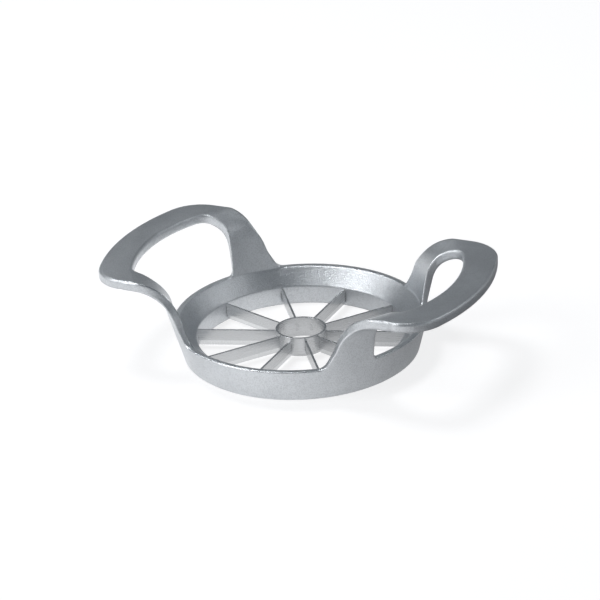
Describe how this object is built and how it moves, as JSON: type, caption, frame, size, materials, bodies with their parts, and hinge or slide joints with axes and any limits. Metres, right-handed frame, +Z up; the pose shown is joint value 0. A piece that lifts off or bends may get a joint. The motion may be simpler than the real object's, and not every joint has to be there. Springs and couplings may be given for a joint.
{
  "type": "fruit slicer",
  "caption": "Press-down fruit slicer and corer: a flared cast ring with two upswept loop handles, radial blades and a core tube.",
  "frame": {"origin": "centre of the ring at the level of the foot face that it stands on", "axes": "+X runs through both handles, +Y across them, +Z up"},
  "size_m": [0.169, 0.11, 0.041],
  "materials": {
    "cast_aluminium": "satin, fine cast grain",
    "tube_steel": "brushed",
    "blade_steel": "brushed, ground edge"
  },
  "bodies": {
    "root": {"cast_frame": "cast_aluminium", "core_tube": "tube_steel", "blade_01": "blade_steel", "blade_02": "blade_steel", "blade_03": "blade_steel", "blade_04": "blade_steel", "blade_05": "blade_steel", "blade_06": "blade_steel", "blade_07": "blade_steel", "blade_08": "blade_steel", "blade_09": "blade_steel", "blade_10": "blade_steel"}
  },
  "joints": []
}
